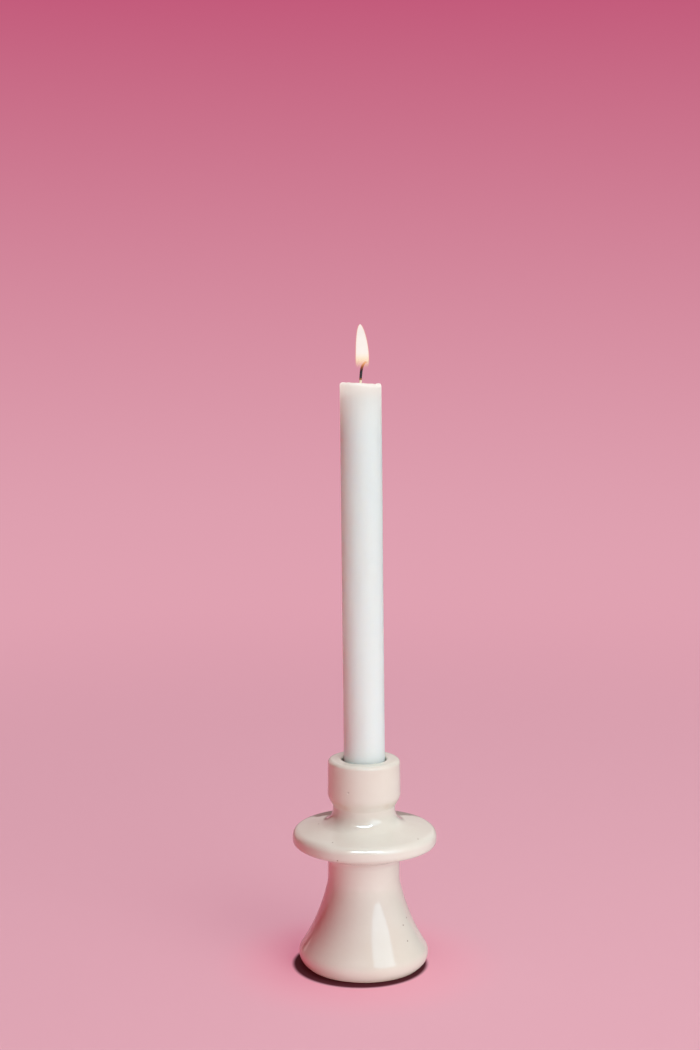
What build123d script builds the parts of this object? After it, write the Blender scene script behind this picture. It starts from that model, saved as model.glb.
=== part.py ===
"""A glazed ceramic candlestick with a straight dinner candle standing in its socket.

Frame: +Z up, origin on the table at the centre of the foot, +X to the right and +Y to the back. Millimetres.
The candlestick is one fired clay body under a coat of glaze. The candle is a second, separate thing: wax, a
wick through its whole length, and the pool of melted wax round the wick. It lifts out along its own axis,
which leans a little, because the butt of the candle is not cut square.
"""

from build123d import *
import os

# ---- The candlestick's outside, from the table up: radii from its axis, and heights ----
FLARE_ROOT_RADIUS = 40.8  # where the flare's side would meet the table, were the foot not rounded
FOOT_ROUNDING = 7.2
FLARE_RADIUS, FLARE_HEIGHT, FLARE_SWEEP = 25.0, 25.3, 105.0
STEM_RADIUS, STEM_HEIGHT, STEM_SWEEP = 19.3, 46.9, 25.0
PAN_ROOT_HEIGHT, PAN_ROOT_ROUNDING = 60.5, 5.0
PAN_RADIUS = 39.2
PAN_LOW_EDGE, PAN_LOW_ROUNDING = 68.0, 2.6
PAN_TOP_EDGE, PAN_TOP_ROUNDING = 75.2, 4.2
NECK_RADIUS, NECK_ROOT_HEIGHT, NECK_ROOT_ROUNDING = 16.7, 79.6, 8.6
CUP_CREASE_HEIGHT, CUP_CREASE_ROUNDING = 88.6, 2.0
CUP_BELLY_RADIUS, CUP_BELLY_HEIGHT, CUP_BELLY_ROUNDING = 19.6, 93.6, 8.0
CUP_LIP_RADIUS, LIP_ROUNDING = 19.35, 2.2
HEIGHT = 114.1

# ---- The socket that the candle stands in ----
SOCKET_RADIUS = 11.9
SOCKET_DEPTH = 24.1
SOCKET_MOUTH_ROUNDING = 1.2
SOCKET_FLOOR_ROUNDING = 1.0
SOCKET_FLOOR = HEIGHT - SOCKET_DEPTH

# ---- The hollow under the foot ----
HOLLOW_MOUTH_RADIUS, HOLLOW_MOUTH_HEIGHT = 24.6, 5.0
HOLLOW_STEM_RADIUS, HOLLOW_STEM_HEIGHT = 13.0, 47.0
HOLLOW_TOP_RADIUS = 10.6
HOLLOW_SWEEP = 30.0
HOLLOW_DOME_ROUNDING = 7.0
WEB_UNDER_SOCKET = 8.0

# ---- The glaze ----
GLAZE = 0.4
GLAZE_STOPS = 1.0  # the bare rim of the foot, wiped clean so that it doesn't stick in the kiln

# ---- The candle, in its own frame: z along its axis from its butt, x towards the side its wick curls to ----
CANDLE_LENGTH = 225.0
CANDLE_BUTT_RADIUS, CANDLE_TOP_RADIUS = 11.0, 10.9
BUTT_BEVEL = 1.3
CANDLE_RIM_ROUNDING = 1.1
DISH_RADIUS, DISH_FLOOR_RADIUS, DISH_DEPTH = 8.7, 6.9, 2.6
DISH_LIP_ROUNDING, DISH_FLOOR_ROUNDING = 0.7, 1.6
POOL_BELOW_RIM = 1.2
WICK_RADIUS = 0.75

# ---- Where the wick runs above the dish: across, and up from the candle's rim ----
WICK_ROUTE = ((0.0, 1.0), (0.45, 7.6), (1.55, 9.9), (3.05, 10.95))
WICK_BENDS = (12.0, 5.0, 3.2)

# ---- How the candle stands in the socket ----
LEAN = -0.64  # degrees, towards -X
BUTT_OFFSET = 0.5  # how far the middle of the butt stands from the socket's axis, towards +X

SPARE = 5.0  # how far a cutting shape runs past what it cuts


def filleted(corners):
    """The line through (radius, height, rounding) corners. The first and the last corner have no rounding."""
    points = [(across, up) for across, up, _ in corners]
    return FilletPolyline(*points, radius=[rounding for *_, rounding in corners[1:-1]])


def closed_face(outline):
    """The face inside an outline whose two ends a straight line joins."""
    return make_face([outline, Line(outline @ 1, outline @ 0)])


def lathe(section):
    """The solid that a section drawn as radius and height makes, once round the Z axis."""
    return revolve(Plane.XZ * section, Axis.Z)


def outside_section():
    """Half the candlestick's section with its socket, and with the hollow under the foot still full."""
    outline = filleted(
        [
            (0, 0, 0),
            (FLARE_ROOT_RADIUS, 0, FOOT_ROUNDING),
            (FLARE_RADIUS, FLARE_HEIGHT, FLARE_SWEEP),
            (STEM_RADIUS, STEM_HEIGHT, STEM_SWEEP),
            (STEM_RADIUS, PAN_ROOT_HEIGHT, PAN_ROOT_ROUNDING),
            (PAN_RADIUS, PAN_LOW_EDGE, PAN_LOW_ROUNDING),
            (PAN_RADIUS, PAN_TOP_EDGE, PAN_TOP_ROUNDING),
            (NECK_RADIUS, NECK_ROOT_HEIGHT, NECK_ROOT_ROUNDING),
            (NECK_RADIUS, CUP_CREASE_HEIGHT, CUP_CREASE_ROUNDING),
            (CUP_BELLY_RADIUS, CUP_BELLY_HEIGHT, CUP_BELLY_ROUNDING),
            (CUP_LIP_RADIUS, HEIGHT, LIP_ROUNDING),
            (SOCKET_RADIUS, HEIGHT, SOCKET_MOUTH_ROUNDING),
            (SOCKET_RADIUS, SOCKET_FLOOR, SOCKET_FLOOR_ROUNDING),
            (0, SOCKET_FLOOR, 0),
        ]
    )
    return closed_face(outline)


def hollow_section():
    """Half the section of the hollow under the foot, run on below the table so that it cuts clean through."""
    top = SOCKET_FLOOR - WEB_UNDER_SOCKET
    outline = filleted(
        [
            (0, top, 0),
            (HOLLOW_TOP_RADIUS, top, HOLLOW_DOME_ROUNDING),
            (HOLLOW_STEM_RADIUS, HOLLOW_STEM_HEIGHT, HOLLOW_SWEEP),
            (HOLLOW_MOUTH_RADIUS, HOLLOW_MOUTH_HEIGHT, HOLLOW_MOUTH_HEIGHT),
            (HOLLOW_MOUTH_RADIUS, -SPARE, 0),
            (0, -SPARE, 0),
        ]
    )
    return closed_face(outline)


def glaze_section():
    """Half the section of the glaze: the skin of the outside and of the socket, above the bare rim of the foot."""
    half = outside_section()
    whole = half + mirror(half, Plane.YZ)
    skin = whole - offset(whole, amount=-GLAZE)
    kept = Pos(0, GLAZE_STOPS) * Rectangle(
        2 * PAN_RADIUS, 2 * HEIGHT, align=(Align.MIN, Align.MIN)
    )
    return skin & kept


def clay_section():
    return outside_section() - glaze_section() - hollow_section()


def wax_section():
    """Half the candle's section, from the wick's hole to the rim, with the dish that the flame has melted."""
    top = CANDLE_LENGTH
    outline = filleted(
        [
            (WICK_RADIUS, -SPARE, 0),
            (CANDLE_BUTT_RADIUS - BUTT_BEVEL, -SPARE, 0.1),
            (CANDLE_BUTT_RADIUS - BUTT_BEVEL, 0, 0.1),
            (CANDLE_BUTT_RADIUS, BUTT_BEVEL, 0.3),
            (CANDLE_TOP_RADIUS, top, CANDLE_RIM_ROUNDING),
            (DISH_RADIUS, top, DISH_LIP_ROUNDING),
            (DISH_FLOOR_RADIUS, top - DISH_DEPTH, DISH_FLOOR_ROUNDING),
            (WICK_RADIUS, top - DISH_DEPTH, 0),
        ]
    )
    return closed_face(outline)


def pool_section():
    """Half the section of the melted wax that stands in the dish."""
    depth = DISH_DEPTH - POOL_BELOW_RIM
    filled = Pos(WICK_RADIUS, CANDLE_LENGTH - DISH_DEPTH) * Rectangle(
        DISH_RADIUS - WICK_RADIUS, depth, align=(Align.MIN, Align.MIN)
    )
    return filled - wax_section()


def wick_solid():
    """The wick, straight through the candle and then curling over above the dish."""
    route = [(0, 0, -SPARE)]
    route += [(across, 0, CANDLE_LENGTH + up) for across, up in WICK_ROUTE]
    path = FilletPolyline(*route, radius=list(WICK_BENDS))
    return sweep(Plane.XY.offset(-SPARE) * Circle(WICK_RADIUS), path=path)


def stood_in_socket(shape):
    """A shape of the candle's own frame, leant over and put on the socket's floor, with its butt pared level."""
    stood = Pos(BUTT_OFFSET, 0, SOCKET_FLOOR) * Rot(0, LEAN, 0) * shape
    below = Pos(0, 0, SOCKET_FLOOR) * Box(
        4 * SOCKET_RADIUS, 4 * SOCKET_RADIUS, 4 * SPARE, align=(Align.CENTER, Align.CENTER, Align.MAX)
    )
    return stood - below


def parts():
    """Every sub-part by its node's name."""
    return {
        "clay_body": lathe(clay_section()),
        "glaze_coat": lathe(glaze_section()),
        "candle": stood_in_socket(lathe(wax_section())),
        "wick": stood_in_socket(wick_solid()),
        "melt_pool": stood_in_socket(lathe(pool_section())),
    }


os.makedirs("parts", exist_ok=True)
for name, shape in parts().items():
    export_step(shape, f"parts/{name}.step")
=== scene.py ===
from math import atan2, ceil, cos, pi, radians, sin, tan

import bmesh
import bpy
from mathutils import Matrix, Vector, noise


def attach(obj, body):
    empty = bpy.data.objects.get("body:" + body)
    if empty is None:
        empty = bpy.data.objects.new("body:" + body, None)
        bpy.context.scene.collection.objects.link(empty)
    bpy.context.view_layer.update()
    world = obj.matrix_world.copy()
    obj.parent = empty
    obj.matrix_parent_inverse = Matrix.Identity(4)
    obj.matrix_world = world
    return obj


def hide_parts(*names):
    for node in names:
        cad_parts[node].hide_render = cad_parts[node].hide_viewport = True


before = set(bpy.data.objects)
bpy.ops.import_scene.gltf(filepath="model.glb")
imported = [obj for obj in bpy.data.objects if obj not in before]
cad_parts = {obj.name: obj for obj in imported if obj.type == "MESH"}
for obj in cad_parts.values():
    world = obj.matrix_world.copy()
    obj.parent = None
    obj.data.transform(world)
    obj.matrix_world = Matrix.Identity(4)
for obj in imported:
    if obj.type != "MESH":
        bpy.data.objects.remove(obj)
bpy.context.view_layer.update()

MM = 0.001

# ---- The candlestick's outside, in millimetres, as in the CAD: radii from its axis, and heights ----
FLARE_ROOT_RADIUS = 40.8  # where the flare's side would meet the table, were the foot not rounded
FOOT_ROUNDING = 7.2
FLARE_RADIUS, FLARE_HEIGHT, FLARE_SWEEP = 25.0, 25.3, 105
STEM_RADIUS, STEM_HEIGHT, STEM_SWEEP = 19.3, 46.9, 25
PAN_ROOT_HEIGHT, PAN_ROOT_ROUNDING = 60.5, 5.0
PAN_RADIUS = 39.2
PAN_LOW_EDGE, PAN_LOW_ROUNDING = 68.0, 2.6
PAN_TOP_EDGE, PAN_TOP_ROUNDING = 75.2, 4.2
NECK_RADIUS, NECK_ROOT_HEIGHT, NECK_ROOT_ROUNDING = 16.7, 79.6, 8.6
CUP_CREASE_HEIGHT, CUP_CREASE_ROUNDING = 88.6, 2.0
CUP_BELLY_RADIUS, CUP_BELLY_HEIGHT, CUP_BELLY_ROUNDING = 19.6, 93.6, 8.0
CUP_LIP_RADIUS, LIP_ROUNDING = 19.35, 2.2
HEIGHT = 114.1
SOCKET_RADIUS, SOCKET_FLOOR = 11.9, 90.0
SOCKET_MOUTH_ROUNDING, SOCKET_FLOOR_ROUNDING = 1.2, 1.0
GLAZE, GLAZE_STOPS = 0.4, 1.0
IN_SOCKET = 12.5  # inside this radius nothing is uneven, so that the socket stays clear of the candle
PAN_SHORTFALL = 0.8  # how much less the drip pan reaches out on its left

# ---- The hollow under the foot ----
HOLLOW_TOP, HOLLOW_TOP_RADIUS, HOLLOW_DOME_ROUNDING = 82.0, 10.6, 7
HOLLOW_STEM_RADIUS, HOLLOW_STEM_HEIGHT, HOLLOW_SWEEP = 13.0, 47, 30
HOLLOW_MOUTH_RADIUS, HOLLOW_MOUTH_HEIGHT = 24.6, 5
BARE_RING_RADIUS = 26  # a circle on the flat ring of clay that the candlestick stands on

# ---- The candle, in its own frame: z along its axis from its butt ----
CANDLE_LENGTH = 225.0
CANDLE_BUTT_RADIUS, CANDLE_TOP_RADIUS = 11.0, 10.9
WICK_HOLE = 0.75
DISH_RADIUS, DISH_FLOOR_RADIUS = 8.7, 6.9
DISH_DEPTH, POOL_BELOW_RIM = 2.6, 1.2
LEAN = -0.64  # degrees
BUTT_OFFSET = 0.5

RIM = (SOCKET_FLOOR + CANDLE_LENGTH) * MM  # the candle's rim above the table, in metres
CANDLE_STANDS = Matrix.Translation((BUTT_OFFSET, 0, SOCKET_FLOOR)) @ Matrix.Rotation(radians(LEAN), 4, "Y")

# ---- The stage, in metres, and the camera ----
SHADE_CENTRE = (-0.0020, -0.0003, 0.0)  # the middle of the painted shadow on the floor round the foot, off to the left
CAMERA_STANDS = (-0.0075, -0.960, 0.3681)
LOOKS_DOWN = 0.1325  # radians
LENS, SENSOR_HEIGHT = 63.0, 36  # millimetres


# ---------------------------------------------------------------- shapes

def filleted(corners, step=0.5):
    """Points along the line through (radius, height, rounding) corners, with each rounding as an arc."""
    points = [Vector(corners[0][:2])]
    for before, here, after in zip(corners, corners[1:], corners[2:]):
        corner, rounding = Vector(here[:2]), here[2]
        back = (Vector(before[:2]) - corner).normalized()
        ahead = (Vector(after[:2]) - corner).normalized()
        half = back.angle(ahead) / 2
        centre = corner + (back + ahead).normalized() * rounding / sin(half)
        first = corner + back * rounding / tan(half) - centre
        last = corner + ahead * rounding / tan(half) - centre
        start = atan2(first.y, first.x)
        turn = (atan2(last.y, last.x) - start + pi) % (2 * pi) - pi
        steps = max(3, ceil(abs(turn) * rounding / step))
        for index in range(steps + 1):
            angle = start + turn * index / steps
            points.append(centre + rounding * Vector((cos(angle), sin(angle))))
    points.append(Vector(corners[-1][:2]))
    return evenly_cut(points, 1.0)


def evenly_cut(points, longest):
    """The same line with every run longer than a length cut into equal shorter ones."""
    cut = [points[0]]
    for start, end in zip(points, points[1:]):
        steps = max(1, ceil((end - start).length / longest))
        cut += [start.lerp(end, index / steps) for index in range(1, steps + 1)]
    return cut


def inset(points, depth):
    """The line that runs a depth inside an outline drawn from its foot up its outside."""
    moved = []
    for index, point in enumerate(points):
        along = (points[min(index + 1, len(points) - 1)] - points[max(index - 1, 0)]).normalized()
        moved.append(point + depth * Vector((-along.y, along.x)))
    return moved


def lathe(name, outline, turns, shape=None, closed=True):
    """A smooth mesh object, made by turning an outline of (radius, height) points once round the Z axis."""
    work = bmesh.new()
    rings = []
    for radius, height in outline:
        ring = []
        for index in range(turns):
            angle = 2 * pi * index / turns
            across, up = shape(radius, height, angle) if shape else (radius, height)
            ring.append(work.verts.new((across * cos(angle), across * sin(angle), up)))
        rings.append(ring)
    pairs = list(zip(rings, rings[1:]))
    if closed:
        pairs.append((rings[-1], rings[0]))
    for low, high in pairs:
        for index in range(turns):
            following = (index + 1) % turns
            work.faces.new((low[index], low[following], high[following], high[index]))
    bmesh.ops.remove_doubles(work, verts=work.verts, dist=0.003)
    bmesh.ops.recalc_face_normals(work, faces=work.faces)
    return finished_object(name, work)


def finished_object(name, work):
    """Turn a bmesh drawn in millimetres into a smooth-shaded object in metres."""
    mesh = bpy.data.meshes.new(name)
    work.to_mesh(mesh)
    work.free()
    mesh.transform(Matrix.Scale(MM, 4))
    mesh.shade_smooth()
    made = bpy.data.objects.new(name, mesh)
    bpy.context.collection.objects.link(made)
    return made


def stood_in_socket(piece):
    """Move a mesh drawn in the candle's own frame to where the candle stands."""
    scale = Matrix.Scale(MM, 4)
    piece.data.transform(scale @ CANDLE_STANDS @ scale.inverted())
    return piece


def capped_skin(work, rings):
    """Add the faces from each ring of points to the next, and a cap at either end."""
    sides = len(rings[0])
    for low, high in zip(rings, rings[1:]):
        for step in range(sides):
            following = (step + 1) % sides
            work.faces.new((low[step], low[following], high[following], high[step]))
    work.faces.new(rings[0][::-1])
    work.faces.new(rings[-1])


def tube(work, path, radius_at, sides):
    """Add a round tube along a path of points to a bmesh. radius_at gives its radius from 0 to 1 along it."""
    side = Vector((0, 1, 0))
    rings = []
    for index, point in enumerate(path):
        ahead = (path[min(index + 1, len(path) - 1)] - path[max(index - 1, 0)]).normalized()
        side = (side - ahead * side.dot(ahead)).normalized()
        other = ahead.cross(side)
        radius = radius_at(index / (len(path) - 1))
        ring = []
        for step in range(sides):
            angle = 2 * pi * step / sides
            ring.append(work.verts.new(point + radius * (cos(angle) * side + sin(angle) * other)))
        rings.append(ring)
    capped_skin(work, rings)


def smooth_step(value, low, high):
    share = min(max((value - low) / (high - low), 0), 1)
    return share * share * (3 - 2 * share)


def through(stations, share):
    """A point on the smooth curve through a list of stations (Catmull-Rom), from 0 to 1 along it."""
    position = share * (len(stations) - 1)
    index = min(int(position), len(stations) - 2)
    local = position - index
    here, after = stations[index], stations[index + 1]
    before = stations[index - 1] if index else here * 2 - after
    beyond = stations[index + 2] if index + 2 < len(stations) else after * 2 - here
    return 0.5 * (
        here * 2
        + (after - before) * local
        + (before * 2 - here * 5 + after * 4 - beyond) * local**2
        + (here * 3 - before - after * 3 + beyond) * local**3
    )


# ---------------------------------------------------------------- materials

class Look:
    """A principled material, with short ways to add nodes to it."""

    def __init__(self, name, **settings):
        self.material = bpy.data.materials.new(name)
        self.material.use_nodes = True
        self.tree = self.material.node_tree
        self.shader = self.tree.nodes["Principled BSDF"]
        for socket, value in settings.items():
            self.shader.inputs[socket.replace("_", " ")].default_value = value

    def node(self, kind, sockets=(), **settings):
        made = self.tree.nodes.new("ShaderNode" + kind)
        for name, value in settings.items():
            setattr(made, name, value)
        for socket, value in dict(sockets).items():
            self.feed(made.inputs[socket], value)
        return made

    def feed(self, socket, value):
        if isinstance(value, bpy.types.NodeSocket):
            self.tree.links.new(value, socket)
        else:
            socket.default_value = value

    def position(self):
        return self.node("TexCoord").outputs["Object"]

    def distance(self, place):
        """How far a point is from a place, in metres."""
        sockets = {0: self.position(), 1: place}
        return self.node("VectorMath", sockets, operation="DISTANCE").outputs["Value"]

    def height(self):
        """Height above the table, in metres, when the part is at rest."""
        return self.node("SeparateXYZ", {0: self.position()}).outputs["Z"]

    def sum(self, operation, first, second=0.0, third=0.0):
        return self.node("Math", {0: first, 1: second, 2: third}, operation=operation).outputs[0]

    def share(self, value, low, high):
        """A value's smooth place between low and high, from 0 to 1."""
        sockets = {"Value": value, "From Min": low, "From Max": high}
        return self.node("MapRange", sockets, interpolation_type="SMOOTHSTEP").outputs["Result"]

    def cloud(self, scale, detail=3.0, roughness=0.5, stretch=(1, 1, 1)):
        where = self.node("Mapping", {"Vector": self.position(), "Scale": stretch}).outputs[0]
        sockets = {"Vector": where, "Scale": scale, "Detail": detail, "Roughness": roughness}
        return self.node("TexNoise", sockets).outputs["Fac"]

    def mixed(self, share, first, second):
        made = self.node("Mix", {"Factor": share}, data_type="RGBA")
        for socket, value in ((made.inputs[6], first), (made.inputs[7], second)):
            self.feed(socket, value)
        return made.outputs[2]

    def spots(self, places, size):
        """1 inside any of the spots with centres in millimetres, 0 away from them, and soft between."""
        total = 0.0
        for place in places:
            centre = [axis * MM for axis in place]
            inside = self.share(self.distance(centre), size * MM, 0.45 * size * MM)
            total = self.sum("MAXIMUM", inside, total)
        return total

    def bump(self, height, distance, onto=None, strength=1.0):
        sockets = {"Height": height, "Distance": distance, "Strength": strength}
        made = self.node("Bump", sockets)
        if onto is not None:
            self.feed(made.inputs["Normal"], onto)
        return made.outputs["Normal"]

    def use(self, socket, value):
        self.feed(self.shader.inputs[socket], value)


def on_outside(angle, height, radius):
    """A place on the candlestick's outside, by its angle in degrees from the front towards +X."""
    return (radius * sin(radians(angle)), -radius * cos(radians(angle)), height)


def glaze_look():
    """Cream gloss glaze: cloudy, tan where it runs thin at the foot and in patches along the crease under the
    cup, with iron specks and pinholes.
    """
    look = Look("cream_glaze", Roughness=0.025, IOR=1.65)
    milk = (0.762, 0.748, 0.678, 1)
    warm = (0.722, 0.684, 0.602, 1)
    tan_clay = (0.56, 0.33, 0.17, 1)
    iron = (0.20, 0.12, 0.07, 1)
    cloudy = look.share(look.cloud(22, 4.0), 0.35, 0.72)
    colour = look.mixed(cloudy, milk, warm)
    height = look.height()
    # Patches of tan along the crease under the cup's belly.
    crease_height = CUP_CREASE_HEIGHT * MM
    above_crease = look.share(height, crease_height - 0.0001, crease_height + 0.0019)
    below_belly = look.share(height, crease_height + 0.0059, crease_height + 0.0029)
    crease = look.sum("MULTIPLY", above_crease, below_belly)
    patchy = look.share(look.cloud(60, 3.0), 0.50, 0.70)
    foot = look.share(height, 0.0030, 0.0012)
    thin = look.sum("MAXIMUM", look.sum("MULTIPLY", crease, patchy), look.sum("MULTIPLY", foot, 0.7))
    colour = look.mixed(look.sum("MULTIPLY", thin, 0.3), colour, tan_clay)
    specks = [
        on_outside(53, 75.9, 35.5),
        on_outside(-87, 78.1, 24.5),
        on_outside(-30, 76.4, 33.2),
        on_outside(-21, 69.0, 39.0),
        on_outside(66.5, 28.8, 24.8),
        on_outside(54, 26.5, 25.8),
        on_outside(52, 18.8, 29.4),
        on_outside(140, 45.0, 19.9),
        on_outside(205, 74.8, 37.5),
    ]
    fine = look.node("TexVoronoi", {"Vector": look.position(), "Scale": 130.0, "Randomness": 1.0})
    rare = look.sum("GREATER_THAN", look.node("SeparateXYZ", {0: fine.outputs["Color"]}).outputs["X"], 0.93)
    dust = look.sum("MULTIPLY", look.share(fine.outputs["Distance"], 0.055, 0.02), rare)
    marks = look.sum("MAXIMUM", look.spots(specks, 0.55), look.sum("MULTIPLY", dust, 0.5))
    colour = look.mixed(look.sum("MULTIPLY", marks, 0.75), colour, iron)
    look.use("Base Color", colour)
    pinholes = [on_outside(-26, 99.6, 19.5), on_outside(14, 29.0, 23.6), on_outside(163, 60, 19.6)]
    pits = look.spots(pinholes, 0.8)
    ripple = look.sum("ADD", look.cloud(75, 2.0), look.sum("MULTIPLY", look.cloud(330, 2.0), 0.12))
    normal = look.bump(ripple, 0.0004, strength=0.3)
    look.use("Normal", look.bump(look.sum("SUBTRACT", 1.0, pits), 0.0004, onto=normal, strength=0.8))
    return look.material


def bare_clay_look():
    """Fired clay where no glaze covers it: matt, sandy, with fine grog."""
    look = Look("bare_clay", Roughness=0.82)
    grain = look.cloud(900, 4.0, 0.7)
    stain = look.share(look.cloud(45, 3.0), 0.35, 0.75)
    colour = look.mixed(stain, (0.66, 0.55, 0.43, 1), (0.56, 0.44, 0.33, 1))
    grog = look.node("TexVoronoi", {"Vector": look.position(), "Scale": 900.0})
    dark = look.share(grog.outputs["Distance"], 0.22, 0.10)
    colour = look.mixed(look.sum("MULTIPLY", dark, 0.5), colour, (0.34, 0.24, 0.17, 1))
    look.use("Base Color", colour)
    look.use("Normal", look.bump(grain, 0.0003, strength=0.6))
    return look.material


def wax_look():
    """White candle wax: translucent and satin, with the flame's light in its top painted as a glow: a warm
    emission over a darkened base colour.
    """
    look = Look("candle_wax", Roughness=0.42, IOR=1.44, Subsurface_Weight=1.0, Subsurface_Scale=0.014)
    look.shader.inputs["Subsurface Radius"].default_value = (1.0, 0.92, 0.85)
    white = (0.74, 0.82, 0.81, 1)
    cooler = (0.71, 0.79, 0.785, 1)
    colour = look.mixed(look.share(look.cloud(35, 4.0, stretch=(1, 1, 0.25)), 0.35, 0.7), white, cooler)
    height = look.height()
    # Painted glow: towards the rim the base colour darkens and a warm emission takes over, standing in for
    # the flame's light in the wax.
    near = look.sum("MULTIPLY", look.share(height, RIM - 0.010, RIM - 0.002), 0.35)
    glow = look.sum("MULTIPLY_ADD", look.share(height, RIM - 0.029, RIM - 0.003), 0.38, near)
    look.use("Base Color", look.mixed(glow, colour, (0.05, 0.05, 0.05, 1)))
    look.use("Emission Color", (0.81, 0.72, 0.66, 1))
    look.use("Emission Strength", glow)
    streaks = look.cloud(240, 3.0, stretch=(1, 1, 0.06))
    dents = look.cloud(55, 2.0)
    uneven = look.sum("MULTIPLY_ADD", dents, 1.5, streaks)
    look.use("Normal", look.bump(uneven, 0.00025, strength=0.35))
    return look.material


def melted_wax_look():
    """The clear liquid wax round the wick, with the flame's light on it painted as a weak orange emission."""
    look = Look("melted_wax", Roughness=0.06, IOR=1.44, Transmission_Weight=0.45, Coat_Weight=0.4)
    swirl = look.share(look.cloud(260, 3.0), 0.3, 0.7)
    look.use("Base Color", look.mixed(swirl, (0.93, 0.86, 0.74, 1), (0.88, 0.79, 0.64, 1)))
    # Painted glow: the flame's light in the pool.
    look.use("Emission Color", (1.0, 0.66, 0.36, 1))
    look.use("Emission Strength", 0.25)
    look.use("Normal", look.bump(swirl, 0.0001, strength=0.4))
    return look.material


def wick_look():
    """Braided cotton: waxed and pale at the bottom, charred above, glowing at its tip."""
    look = Look("wick_cotton", Roughness=0.8)
    height = look.height()
    ragged = look.sum("MULTIPLY_ADD", look.sum("SUBTRACT", look.cloud(700), 0.5), 0.0012, height)
    waxed, scorched, charred = (0.86, 0.78, 0.62, 1), (0.34, 0.12, 0.03, 1), (0.016, 0.012, 0.012, 1)
    colour = look.mixed(look.share(ragged, RIM + 0.0010, RIM + 0.0018), waxed, scorched)
    colour = look.mixed(look.share(ragged, RIM + 0.0019, RIM + 0.0028), colour, charred)
    look.use("Base Color", colour)
    ember = look.share(ragged, RIM + 0.0055, RIM + 0.0112)
    look.use("Emission Color", look.mixed(ember, (0.50, 0.03, 0.0, 1), (1.0, 0.24, 0.02, 1)))
    look.use("Emission Strength", look.sum("MULTIPLY", ember, 0.75))
    look.use("Normal", look.bump(look.cloud(2600, 3.0, 0.7), 0.0001, strength=0.8))
    return look.material


def flame_look(name, low_colour, high_colour, strength, opacity, fade_from, fade_to):
    """Burning gas: light with no surface, that comes in between two heights in millimetres above the rim."""
    look = Look(name, Roughness=1.0)
    height = look.height()
    rise = look.share(height, RIM + fade_from * MM, RIM + fade_to * MM)
    colour = look.mixed(look.share(height, RIM + 0.0095, RIM + 0.0165), low_colour, high_colour)
    flicker = look.sum("MULTIPLY", look.cloud(90, 2.0), 0.25)
    light = look.node("Emission", {"Color": colour, "Strength": look.sum("ADD", strength - 0.12, flicker)})
    clear = look.node("BsdfTransparent")
    blend = look.node("MixShader", {"Fac": look.sum("MULTIPLY", rise, opacity)})
    look.tree.links.new(clear.outputs[0], blend.inputs[1])
    look.tree.links.new(light.outputs[0], blend.inputs[2])
    look.tree.links.new(blend.outputs[0], look.tree.nodes["Material Output"].inputs["Surface"])
    look.tree.nodes.remove(look.shader)
    return look.material


# ---------------------------------------------------------------- the pieces

def outside_outline():
    """The outside and the socket, from the middle of the foot to the middle of the socket's floor."""
    return filleted(
        [
            (0, 0, 0),
            (FLARE_ROOT_RADIUS, 0, FOOT_ROUNDING),
            (FLARE_RADIUS, FLARE_HEIGHT, FLARE_SWEEP),
            (STEM_RADIUS, STEM_HEIGHT, STEM_SWEEP),
            (STEM_RADIUS, PAN_ROOT_HEIGHT, PAN_ROOT_ROUNDING),
            (PAN_RADIUS, PAN_LOW_EDGE, PAN_LOW_ROUNDING),
            (PAN_RADIUS, PAN_TOP_EDGE, PAN_TOP_ROUNDING),
            (NECK_RADIUS, NECK_ROOT_HEIGHT, NECK_ROOT_ROUNDING),
            (NECK_RADIUS, CUP_CREASE_HEIGHT, CUP_CREASE_ROUNDING),
            (CUP_BELLY_RADIUS, CUP_BELLY_HEIGHT, CUP_BELLY_ROUNDING),
            (CUP_LIP_RADIUS, HEIGHT, LIP_ROUNDING),
            (SOCKET_RADIUS, HEIGHT, SOCKET_MOUTH_ROUNDING),
            (SOCKET_RADIUS, SOCKET_FLOOR, SOCKET_FLOOR_ROUNDING),
            (0, SOCKET_FLOOR, 0),
        ]
    )


def hand_made(radius, height, angle):
    """Where a point goes on a hand-made pot: a slow wander, and a drip pan that falls short on its left."""
    if radius < IN_SOCKET:
        return radius, height
    place = Vector((cos(angle), sin(angle), height / 28))
    wander = noise.noise(place * 1.3) * 0.14 + noise.noise(place * 4 + Vector((7, 3, 1))) * 0.04
    settle = smooth_step(height, 2, 8) * smooth_step(radius, IN_SOCKET, 16)
    on_pan = smooth_step(radius, 26, 38) * smooth_step(height, 62, 66)
    wander -= PAN_SHORTFALL * smooth_step(-cos(angle), 0.4, 1.0) * on_pan
    return radius + wander * settle, height + noise.noise(place * 1.1 + Vector((0, 9, 4))) * 0.16 * settle


def glazed_skin():
    skin = [point for point in outside_outline() if point.y > GLAZE_STOPS]
    bead = [skin[0] + Vector((0.02, -0.12)), skin[0] + Vector((-0.18, -0.24))]
    under = inset(skin, GLAZE)
    under[-1].x = 0
    outline = bead[::-1] + skin + under[::-2]
    piece = lathe("glazed_skin", outline, 256, hand_made)
    piece.data.materials.append(glaze_look())
    return piece


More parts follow.
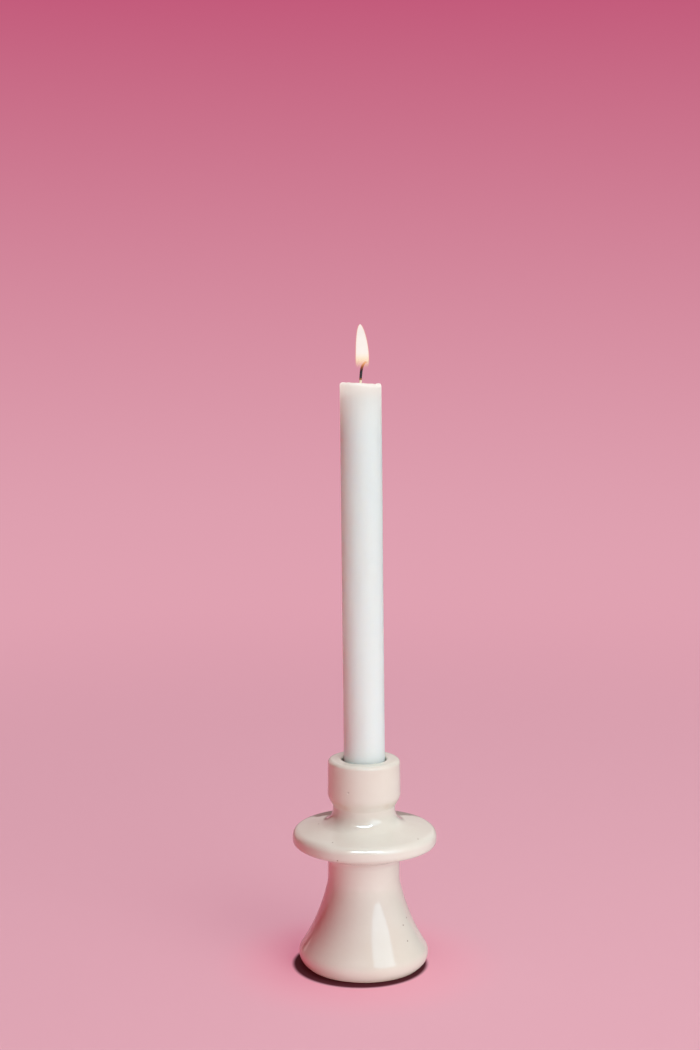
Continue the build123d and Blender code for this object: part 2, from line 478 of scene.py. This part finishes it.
def clay_body():
    """The clay under the glaze: its hollow foot with the thrower's rings, and the bare ring it stands on."""
    hollow = filleted(
        [
            (0, HOLLOW_TOP, 0),
            (HOLLOW_TOP_RADIUS, HOLLOW_TOP, HOLLOW_DOME_ROUNDING),
            (HOLLOW_STEM_RADIUS, HOLLOW_STEM_HEIGHT, HOLLOW_SWEEP),
            (HOLLOW_MOUTH_RADIUS, HOLLOW_MOUTH_HEIGHT, HOLLOW_MOUTH_HEIGHT),
            (HOLLOW_MOUTH_RADIUS, 0.5, 0.45),
            (BARE_RING_RADIUS, 0, 0),
        ]
    )
    whole = outside_outline()
    skin = [point for point in whole if point.y > GLAZE_STOPS]
    foot = [point for point in whole if point.y <= GLAZE_STOPS and point.x > BARE_RING_RADIUS + 0.5]
    under = inset(skin, GLAZE + 0.02)
    under[-1].x = 0

    def thrown(radius, height, angle):
        in_hollow = smooth_step(height, 3, 12) * smooth_step(80, height, height + 6)
        rings = sin(2 * pi * height / 4.2 + angle) * 0.22 * in_hollow
        return radius + rings, height

    inner = lathe("hollow_rings", hollow, 160, thrown, closed=False)
    outer = lathe("clay_shell", foot + under, 160, hand_made, closed=False)
    return inner, outer


def joined(name, *pieces):
    """One object from several, with their meeting edges welded."""
    work = bmesh.new()
    for piece in pieces:
        work.from_mesh(piece.data)
        bpy.data.objects.remove(piece)
    bmesh.ops.remove_doubles(work, verts=work.verts, dist=0.00002)
    bmesh.ops.recalc_face_normals(work, faces=work.faces)
    mesh = bpy.data.meshes.new(name)
    work.to_mesh(mesh)
    work.free()
    mesh.shade_smooth()
    made = bpy.data.objects.new(name, mesh)
    bpy.context.collection.objects.link(made)
    return made


def rim_height(angle):
    """How far the melted rim stands above or below its nominal height, in millimetres, by angle."""
    slope = 0.52 * cos(angle - pi) + 0.57 * cos(angle + pi / 2) - 0.10
    notch = -0.32 * smooth_step(cos(angle + radians(48)), 0.80, 1.0)
    bump = 0.36 * smooth_step(cos(angle - radians(5)), 0.90, 1.0)
    fine = noise.noise(Vector((cos(angle), sin(angle), 0)) * 3.1) * 0.18
    return slope + notch + bump + fine


def melted(radius, height, angle):
    """The candle's own slight unevenness, and its softened top."""
    near_top = smooth_step(height, CANDLE_LENGTH - 9, CANDLE_LENGTH - 1)
    outer = smooth_step(radius, 5.5, 8.8)
    place = Vector((cos(angle), sin(angle), height / 60))
    wander = noise.noise(place * 1.5) * 0.07 + noise.noise(place * 3 + Vector((5, 5, 5))) * 0.16 * near_top
    wander = wander * smooth_step(height, 2, 10)
    return radius + wander * outer, height + rim_height(angle) * near_top * outer


def wax_stick():
    top = CANDLE_LENGTH
    outline = filleted(
        [
            (WICK_HOLE, 0, 0),
            (9.6, 0, 0.3),
            (CANDLE_BUTT_RADIUS, 1.5, 1.0),
            (CANDLE_TOP_RADIUS, top, 1.5),
            (DISH_RADIUS, top - 0.1, 0.9),
            (DISH_FLOOR_RADIUS, top - DISH_DEPTH, 1.8),
            (WICK_HOLE, top - DISH_DEPTH, 0),
        ]
    )
    piece = stood_in_socket(lathe("wax_stick", outline, 160, melted))
    piece.data.materials.append(wax_look())
    return piece


def wax_pool():
    level = CANDLE_LENGTH - POOL_BELOW_RIM
    floor = CANDLE_LENGTH - DISH_DEPTH + 0.02
    outline = filleted(
        [
            (0.8, floor, 0),
            (6.4, floor, 0.8),
            (8.2, level - 0.6, 0.3),
            (8.35, level + 0.22, 0.1),
            (7.7, level, 1.2),
            (1.5, level, 1.1),
            (0.8, level + 0.75, 0),
        ],
        step=0.15,
    )
    piece = stood_in_socket(lathe("wax_pool", outline, 96))
    piece.data.materials.append(melted_wax_look())
    return piece


def braided_wick():
    """Three twisted strands, from the bottom of the dish to the curled, burnt tip."""
    route = [
        (0, 0, -5.0),
        (0, 0, -2.0),
        (0.05, 0, 1.2),
        (0.25, 0.05, 4.4),
        (0.75, 0.1, 7.6),
        (1.65, 0.1, 9.7),
        (2.95, 0, 10.9),
    ]
    stations = [Vector((x, y, CANDLE_LENGTH + z)) for x, y, z in route]
    steps, strands, twists = 220, 3, 6.5
    centre = [through(stations, index / steps) for index in range(steps + 1)]
    work = bmesh.new()
    for strand in range(strands):
        path = []
        side = Vector((0, 1, 0))
        for index, point in enumerate(centre):
            ahead = (centre[min(index + 1, steps)] - centre[max(index - 1, 0)]).normalized()
            side = (side - ahead * side.dot(ahead)).normalized()
            other = ahead.cross(side)
            share = index / steps
            angle = 2 * pi * (strand / strands + share * twists)
            swing = 0.33 * (1 - 0.45 * smooth_step(share, 0.7, 1.0))
            crush = noise.noise(point * 1.7 + Vector((strand * 9, 0, 0))) * 0.08
            path.append(point + (swing + crush) * (cos(angle) * side + sin(angle) * other))
        tube(work, path, lambda share: 0.40 - 0.17 * smooth_step(share, 0.75, 1.0), 14)
    piece = stood_in_socket(finished_object("braided_wick", work))
    piece.data.materials.append(wick_look())
    return piece


def flame_shell(name, look, grow, start):
    """One skin of the flame: a leaning teardrop, grown by some millimetres, from a share of its height up."""
    # Height above the rim, half width and drift to the right.
    stations = [
        Vector((6.0, 1.3, 0.7)),
        Vector((8.2, 2.9, 0.95)),
        Vector((11.5, 3.35, 1.05)),
        Vector((16.5, 3.25, 1.0)),
        Vector((21.5, 2.80, 0.75)),
        Vector((26.3, 1.95, 0.40)),
        Vector((29.3, 0.95, 0.15)),
        Vector((30.5, 0.02, 0.10)),
    ]
    work = bmesh.new()
    rings, sides, steps = [], 48, 60
    for index in range(steps + 1):
        share = start + (1 - start) * index / steps
        up, half, drift = through(stations, share)
        half = max(half + grow * min(1, half / 0.8), 0.02)
        ring = []
        for step in range(sides):
            angle = 2 * pi * step / sides
            across = Vector((drift + half * cos(angle), 0.85 * half * sin(angle), CANDLE_LENGTH + up))
            ring.append(work.verts.new(across))
        rings.append(ring)
    capped_skin(work, rings)
    piece = stood_in_socket(finished_object(name, work))
    piece.data.materials.append(look)
    return piece


def flame():
    white, yellow, coral = (0.95, 0.99, 0.99, 1), (1.0, 0.90, 0.46, 1), (1.0, 0.50, 0.26, 1)
    fringe = flame_look("flame_fringe", coral, coral, 1.0, 0.24, 6.5, 14.0)
    sheath = flame_look("flame_sheath", (1.0, 0.86, 0.56, 1), white, 1.05, 0.62, 7.5, 14.5)
    heart = flame_look("flame_heart", yellow, white, 0.93, 0.94, 10.5, 16.0)
    return [
        flame_shell("flame_fringe", fringe, 0.28, 0.0),
        flame_shell("flame_sheath", sheath, 0.0, 0.0),
        flame_shell("flame_heart", heart, -0.55, 0.06),
    ]


# ---------------------------------------------------------------- the stage, the lights and the camera

def paper_look():
    """Pink paper: lit by the studio near the candlestick, with light of its own everywhere that takes over
    far away. Round the foot it has a painted shadow and a painted near-black contact shadow, and far away its
    light is painted darker and deeper pink higher up.
    """
    look = Look("backdrop_paper", Roughness=0.95, Specular_IOR_Level=0.1)
    look.use("Normal", look.bump(look.cloud(1500, 2.0), 0.0002, strength=0.15))
    far = look.share(look.distance((0, 0, 0)), 0.35, 1.15)
    rise = look.node("MapRange", {"Value": look.height()}).outputs["Result"]
    from_foot = look.distance(SHADE_CENTRE)
    # Painted shadow: a soft, deeper pink patch round the foot, centred off to its left.
    shade = look.share(from_foot, 0.085, 0.040)
    # Painted contact shadow: a near-black ring close round the foot, in the base colour and in the paper's
    # own light.
    painted_contact_shadow = look.share(from_foot, 0.0378, 0.0350)
    paper = look.mixed(painted_contact_shadow, (0.40, 0.265, 0.277, 1), (0.10, 0.02, 0.03, 1))
    look.use("Base Color", look.mixed(far, paper, (0, 0, 0, 1)))
    # The paper's own light near the candlestick, with the painted shadow and the painted contact shadow in
    # it.
    near_glow = look.mixed(shade, (0.41, 0.172, 0.242, 1), (0.46, 0.145, 0.222, 1))
    near_glow = look.mixed(painted_contact_shadow, near_glow, (0, 0, 0, 1))
    # Painted shade: far away the paper's own light turns darker and deeper pink higher up the sweep.
    far_glow = look.mixed(rise, (0.735, 0.350, 0.432, 1), (0.52, 0.07, 0.165, 1))
    look.use("Emission Color", look.mixed(far, near_glow, far_glow))
    look.use("Emission Strength", 1.0)
    return look.material


def backdrop():
    """A seamless pink sheet, flat round the candlestick and swept up far away on every side."""
    floor_edge, sweep_start, sweep_radius, top = 1200, 1800, 700, 2200
    flat = [Vector((radius, 0.0)) for radius in (0, 200, 600, floor_edge)]
    sweep = [Vector((floor_edge, 0.0)), Vector((sweep_start, 0.0))]
    for angle in range(5, 91, 5):
        turn = radians(angle)
        sweep.append(Vector((sweep_start + sweep_radius * sin(turn), sweep_radius * (1 - cos(turn)))))
    sweep.append(Vector((sweep_start + sweep_radius, top)))
    floor = lathe("floor", flat, 96, closed=False)
    wall = lathe("backdrop", sweep, 96, closed=False)
    look = paper_look()
    for sheet in (floor, wall):
        sheet.data.materials.append(look)
        sheet.visible_diffuse = False
        sheet.visible_shadow = False
    wall.visible_glossy = False


def shining(name, lamp, target, azimuth, elevation, away):
    """Stand a lamp a distance away from its target and face it. Azimuth is from the front towards +X."""
    holder = bpy.data.objects.new(name, lamp)
    bpy.context.collection.objects.link(holder)
    level = cos(radians(elevation))
    towards = Vector((sin(radians(azimuth)) * level, -cos(radians(azimuth)) * level, sin(radians(elevation))))
    holder.location = target + away * towards
    holder.rotation_euler = (-towards).to_track_quat("-Z", "Y").to_euler()
    holder.visible_camera = False
    return holder


def softbox(name, azimuth, elevation, away, width, height, watts, colour, shines_on, shape="RECTANGLE"):
    """An area light that faces the candlestick.

    A light that shines on "gloss" is only seen as a reflection, and one that shines on "matt" never is.
    """
    lamp = bpy.data.lights.new(name, "AREA")
    lamp.shape = shape
    lamp.size, lamp.size_y = width, height
    lamp.energy = watts
    lamp.color = colour
    holder = shining(name, lamp, Vector((0, 0, 0.10)), azimuth, elevation, away)
    holder.visible_diffuse = shines_on == "matt"
    holder.visible_glossy = shines_on == "gloss"


def snoot(name, azimuth, elevation, away, height, spread, watts, colour):
    """A narrow spotlight on a short stretch of the candle, centred at a height in millimetres."""
    lamp = bpy.data.lights.new(name, "SPOT")
    lamp.spot_size = radians(spread)
    lamp.spot_blend = 0.6
    lamp.shadow_soft_size = 0.08
    lamp.energy = watts
    lamp.color = colour
    holder = shining(name, lamp, Vector((0, 0, height * MM)), azimuth, elevation, away)
    holder.visible_glossy = False


def studio_air():
    """The light of the room: deep pink from the left, and near white from the right and from above."""
    world = bpy.data.worlds.new("studio")
    world.use_nodes = True
    tree = world.node_tree
    direction = tree.nodes.new("ShaderNodeTexCoord").outputs["Generated"]
    colour = (0.50, 0.04, 0.08, 1)
    # Which way a tone comes from, where it starts and where it is full (as cosines), and its colour.
    tones = (
        ((0.95, -0.30, 0.0), -0.05, 0.55, (0.84, 0.80, 0.80, 1)),
        ((0.0, 0.0, 1.0), 0.65, 1.0, (0.85, 0.82, 0.82, 1)),
    )
    for axis, low, high, tone in tones:
        facing = tree.nodes.new("ShaderNodeVectorMath")
        facing.operation = "DOT_PRODUCT"
        facing.inputs[1].default_value = axis
        tree.links.new(direction, facing.inputs[0])
        share = tree.nodes.new("ShaderNodeMapRange")
        share.interpolation_type = "SMOOTHSTEP"
        share.inputs["From Min"].default_value = low
        share.inputs["From Max"].default_value = high
        tree.links.new(facing.outputs["Value"], share.inputs["Value"])
        blend = tree.nodes.new("ShaderNodeMix")
        blend.data_type = "RGBA"
        tree.links.new(share.outputs["Result"], blend.inputs["Factor"])
        blend.inputs[7].default_value = tone
        if isinstance(colour, tuple):
            blend.inputs[6].default_value = colour
        else:
            tree.links.new(colour, blend.inputs[6])
        colour = blend.outputs[2]
    tree.links.new(colour, tree.nodes["Background"].inputs["Color"])
    tree.nodes["Background"].inputs["Strength"].default_value = 0.29
    bpy.context.scene.world = world


def lights():
    white, cool = (0.98, 1.0, 0.99), (0.60, 1.0, 1.18)
    # Name, azimuth and elevation in degrees, distance, width and height in metres, watts, colour.
    softbox("key_umbrella", 40, 27, 1.6, 1.17, 1.17, 11, white, "matt", shape="ELLIPSE")
    softbox("key_glint", 40, 27, 1.5, 1.10, 1.10, 6, cool, "gloss", shape="ELLIPSE")
    softbox("strip_glint", 4, 53, 1.5, 1.15, 0.08, 21, cool, "gloss")
    softbox("back_glint", -175, 24, 1.6, 3.4, 1.3, 10, (1.0, 0.92, 0.86), "gloss")
    softbox("front_fill", 20, 5, 2.2, 1.6, 0.9, 11, white, "matt")
    softbox("ceiling", 40, 80, 2.2, 1.5, 1.5, 25, white, "matt")
    softbox("floor_bounce", 28, -35, 0.6, 0.9, 0.9, 2.3, (1.0, 0.74, 0.77), "matt")
    softbox("left_glow", -100, -20, 1.4, 1.8, 1.0, 9.0, (1.0, 0.03, 0.07), "matt")
    snoot("candle_kicker", -75, 12, 1.4, 225, 11, 16, (0.50, 1.0, 0.86))
    studio_air()


def camera():
    data = bpy.data.cameras.new("camera")
    data.sensor_fit = "VERTICAL"
    data.sensor_height = SENSOR_HEIGHT
    data.lens = LENS
    holder = bpy.data.objects.new("camera", data)
    bpy.context.collection.objects.link(holder)
    holder.location = CAMERA_STANDS
    holder.rotation_euler = (pi / 2 - LOOKS_DOWN, 0, 0)
    bpy.context.scene.camera = holder


def place(piece, body, slot, *nodes):
    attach(piece, body)
    if nodes:
        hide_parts(*nodes)


camera()
lights()
backdrop()
place(glazed_skin(), "candlestick", "glaze", "glaze_coat")
clay = joined("clay_body_detail", *clay_body())
clay.data.materials.append(bare_clay_look())
place(clay, "candlestick", "clay", "clay_body")
place(wax_stick(), "taper", "wax", "candle")
place(wax_pool(), "taper", "melted_wax", "melt_pool")
place(braided_wick(), "taper", "wick", "wick")
for shell in flame():
    place(shell, "taper", "melted_wax")

bpy.context.scene.view_settings.view_transform = "Standard"
bpy.context.view_layer.update()
